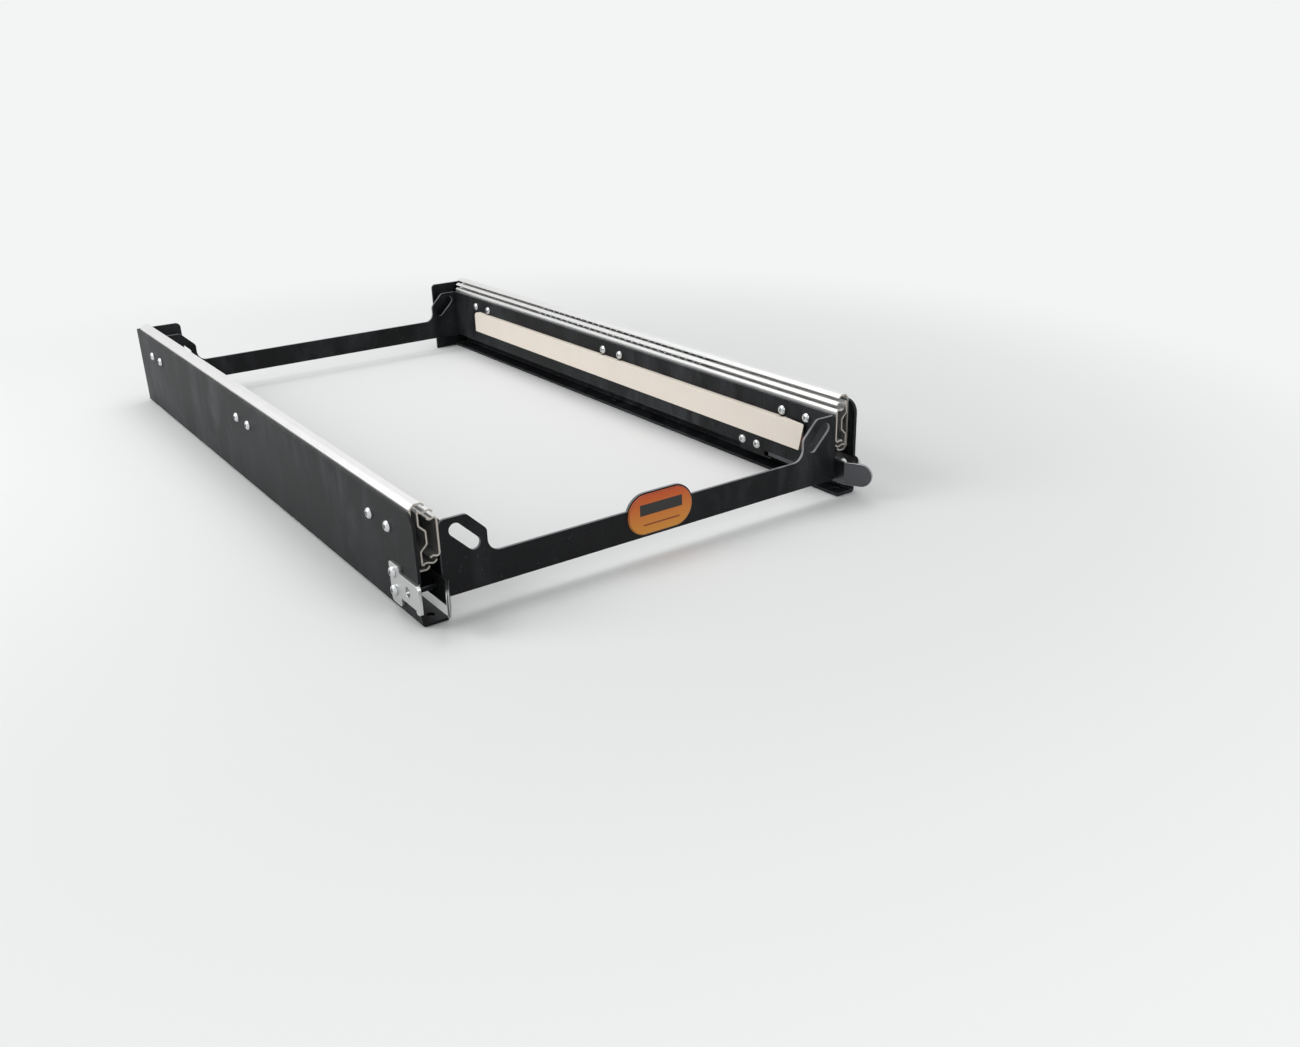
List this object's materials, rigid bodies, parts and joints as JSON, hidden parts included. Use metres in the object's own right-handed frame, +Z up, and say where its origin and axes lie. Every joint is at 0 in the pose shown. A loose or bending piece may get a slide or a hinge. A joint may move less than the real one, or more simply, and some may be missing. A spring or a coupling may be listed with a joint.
{
  "type": "fridge slide",
  "caption": "Pull-out tray frame on full-extension ball slides between low folded side rails, with a latch lever at each front corner, for a portable fridge.",
  "frame": {"origin": "on the deck, midway between the two rails and midway along them", "axes": "+X to the right seen from the front, +Y towards the rear, +Z up; the tray pulls out towards -Y"},
  "size_m": [0.4454, 0.7903, 0.0925],
  "materials": {
    "black_powder_coat": "satin powder coat",
    "zinc_plated_steel": "bright zinc plate",
    "zinc_plate": "zinc plate",
    "dull_dark_zinc": "dull dark zinc plate",
    "black_oxide": "black oxide",
    "zinc_screws": "bright zinc plate",
    "cage_steel": "plain rolled steel",
    "bearing_steel": "polished",
    "cream_plastic": "matt",
    "orange_badge": "domed gloss"
  },
  "bodies": {
    "base": {"rail_left": "black_powder_coat", "rail_right": "black_powder_coat", "outer_member_left": "zinc_plated_steel", "outer_member_right": "zinc_plated_steel", "rail_screws_left": "zinc_screws", "rail_screws_right": "zinc_screws", "keeper_left": "zinc_plate", "keeper_right": "zinc_plate", "keeper_screws_left": "zinc_screws", "keeper_screws_right": "zinc_screws"},
    "middle_members": {"middle_member_left": "zinc_plated_steel", "middle_member_right": "zinc_plated_steel"},
    "outer_cages": {"outer_cage_left": "cage_steel", "outer_cage_right": "cage_steel", "outer_balls_left": "bearing_steel", "outer_balls_right": "bearing_steel"},
    "inner_cages": {"inner_cage_left": "cage_steel", "inner_cage_right": "cage_steel", "inner_balls_left": "bearing_steel", "inner_balls_right": "bearing_steel"},
    "tray": {"tray_front": "black_powder_coat", "tray_rear": "black_powder_coat", "tray_side_left": "black_powder_coat", "tray_side_right": "black_powder_coat", "inner_member_left": "zinc_plated_steel", "inner_member_right": "zinc_plated_steel", "wear_strip_left": "cream_plastic", "wear_strip_right": "cream_plastic", "tray_screws_left": "zinc_screws", "tray_screws_right": "zinc_screws", "lever_bracket_left": "black_powder_coat", "lever_bracket_right": "black_powder_coat", "bracket_screws_left": "zinc_screws", "bracket_screws_right": "zinc_screws", "hinge_pin_left": "black_oxide", "hinge_pin_right": "black_oxide", "badge": "orange_badge"},
    "lever_left": {"lever_left": "dull_dark_zinc", "lock_pin_left": "black_oxide"},
    "lever_right": {"lever_right": "dull_dark_zinc", "lock_pin_right": "black_oxide"}
  },
  "joints": [
    {"name": "tray_slide", "type": "slide", "parent": "base", "child": "tray", "axis": [0, -1, 0], "range_m": [0, 0.74]},
    {"name": "middle_slide", "type": "slide", "parent": "base", "child": "middle_members", "axis": [0, -1, 0], "range_m": [0, 0.37]},
    {"name": "outer_cage_slide", "type": "slide", "parent": "base", "child": "outer_cages", "axis": [0, -1, 0], "range_m": [0, 0.185]},
    {"name": "inner_cage_slide", "type": "slide", "parent": "base", "child": "inner_cages", "axis": [0, -1, 0], "range_m": [0, 0.555]},
    {"name": "lever_right_hinge", "type": "hinge", "parent": "tray", "child": "lever_right", "pos_m": [0.2005, -0.285, 0.0243], "axis": [0, 0, 1], "range_deg": [0, 4.3]},
    {"name": "lever_left_hinge", "type": "hinge", "parent": "tray", "child": "lever_left", "pos_m": [-0.2005, -0.285, 0.0243], "axis": [0, 0, -1], "range_deg": [0, 4.3]}
  ],
  "couplings": [
    {"joint": "middle_slide", "follows": "tray_slide", "ratio": 0.5},
    {"joint": "outer_cage_slide", "follows": "tray_slide", "ratio": 0.25},
    {"joint": "inner_cage_slide", "follows": "tray_slide", "ratio": 0.75}
  ]
}
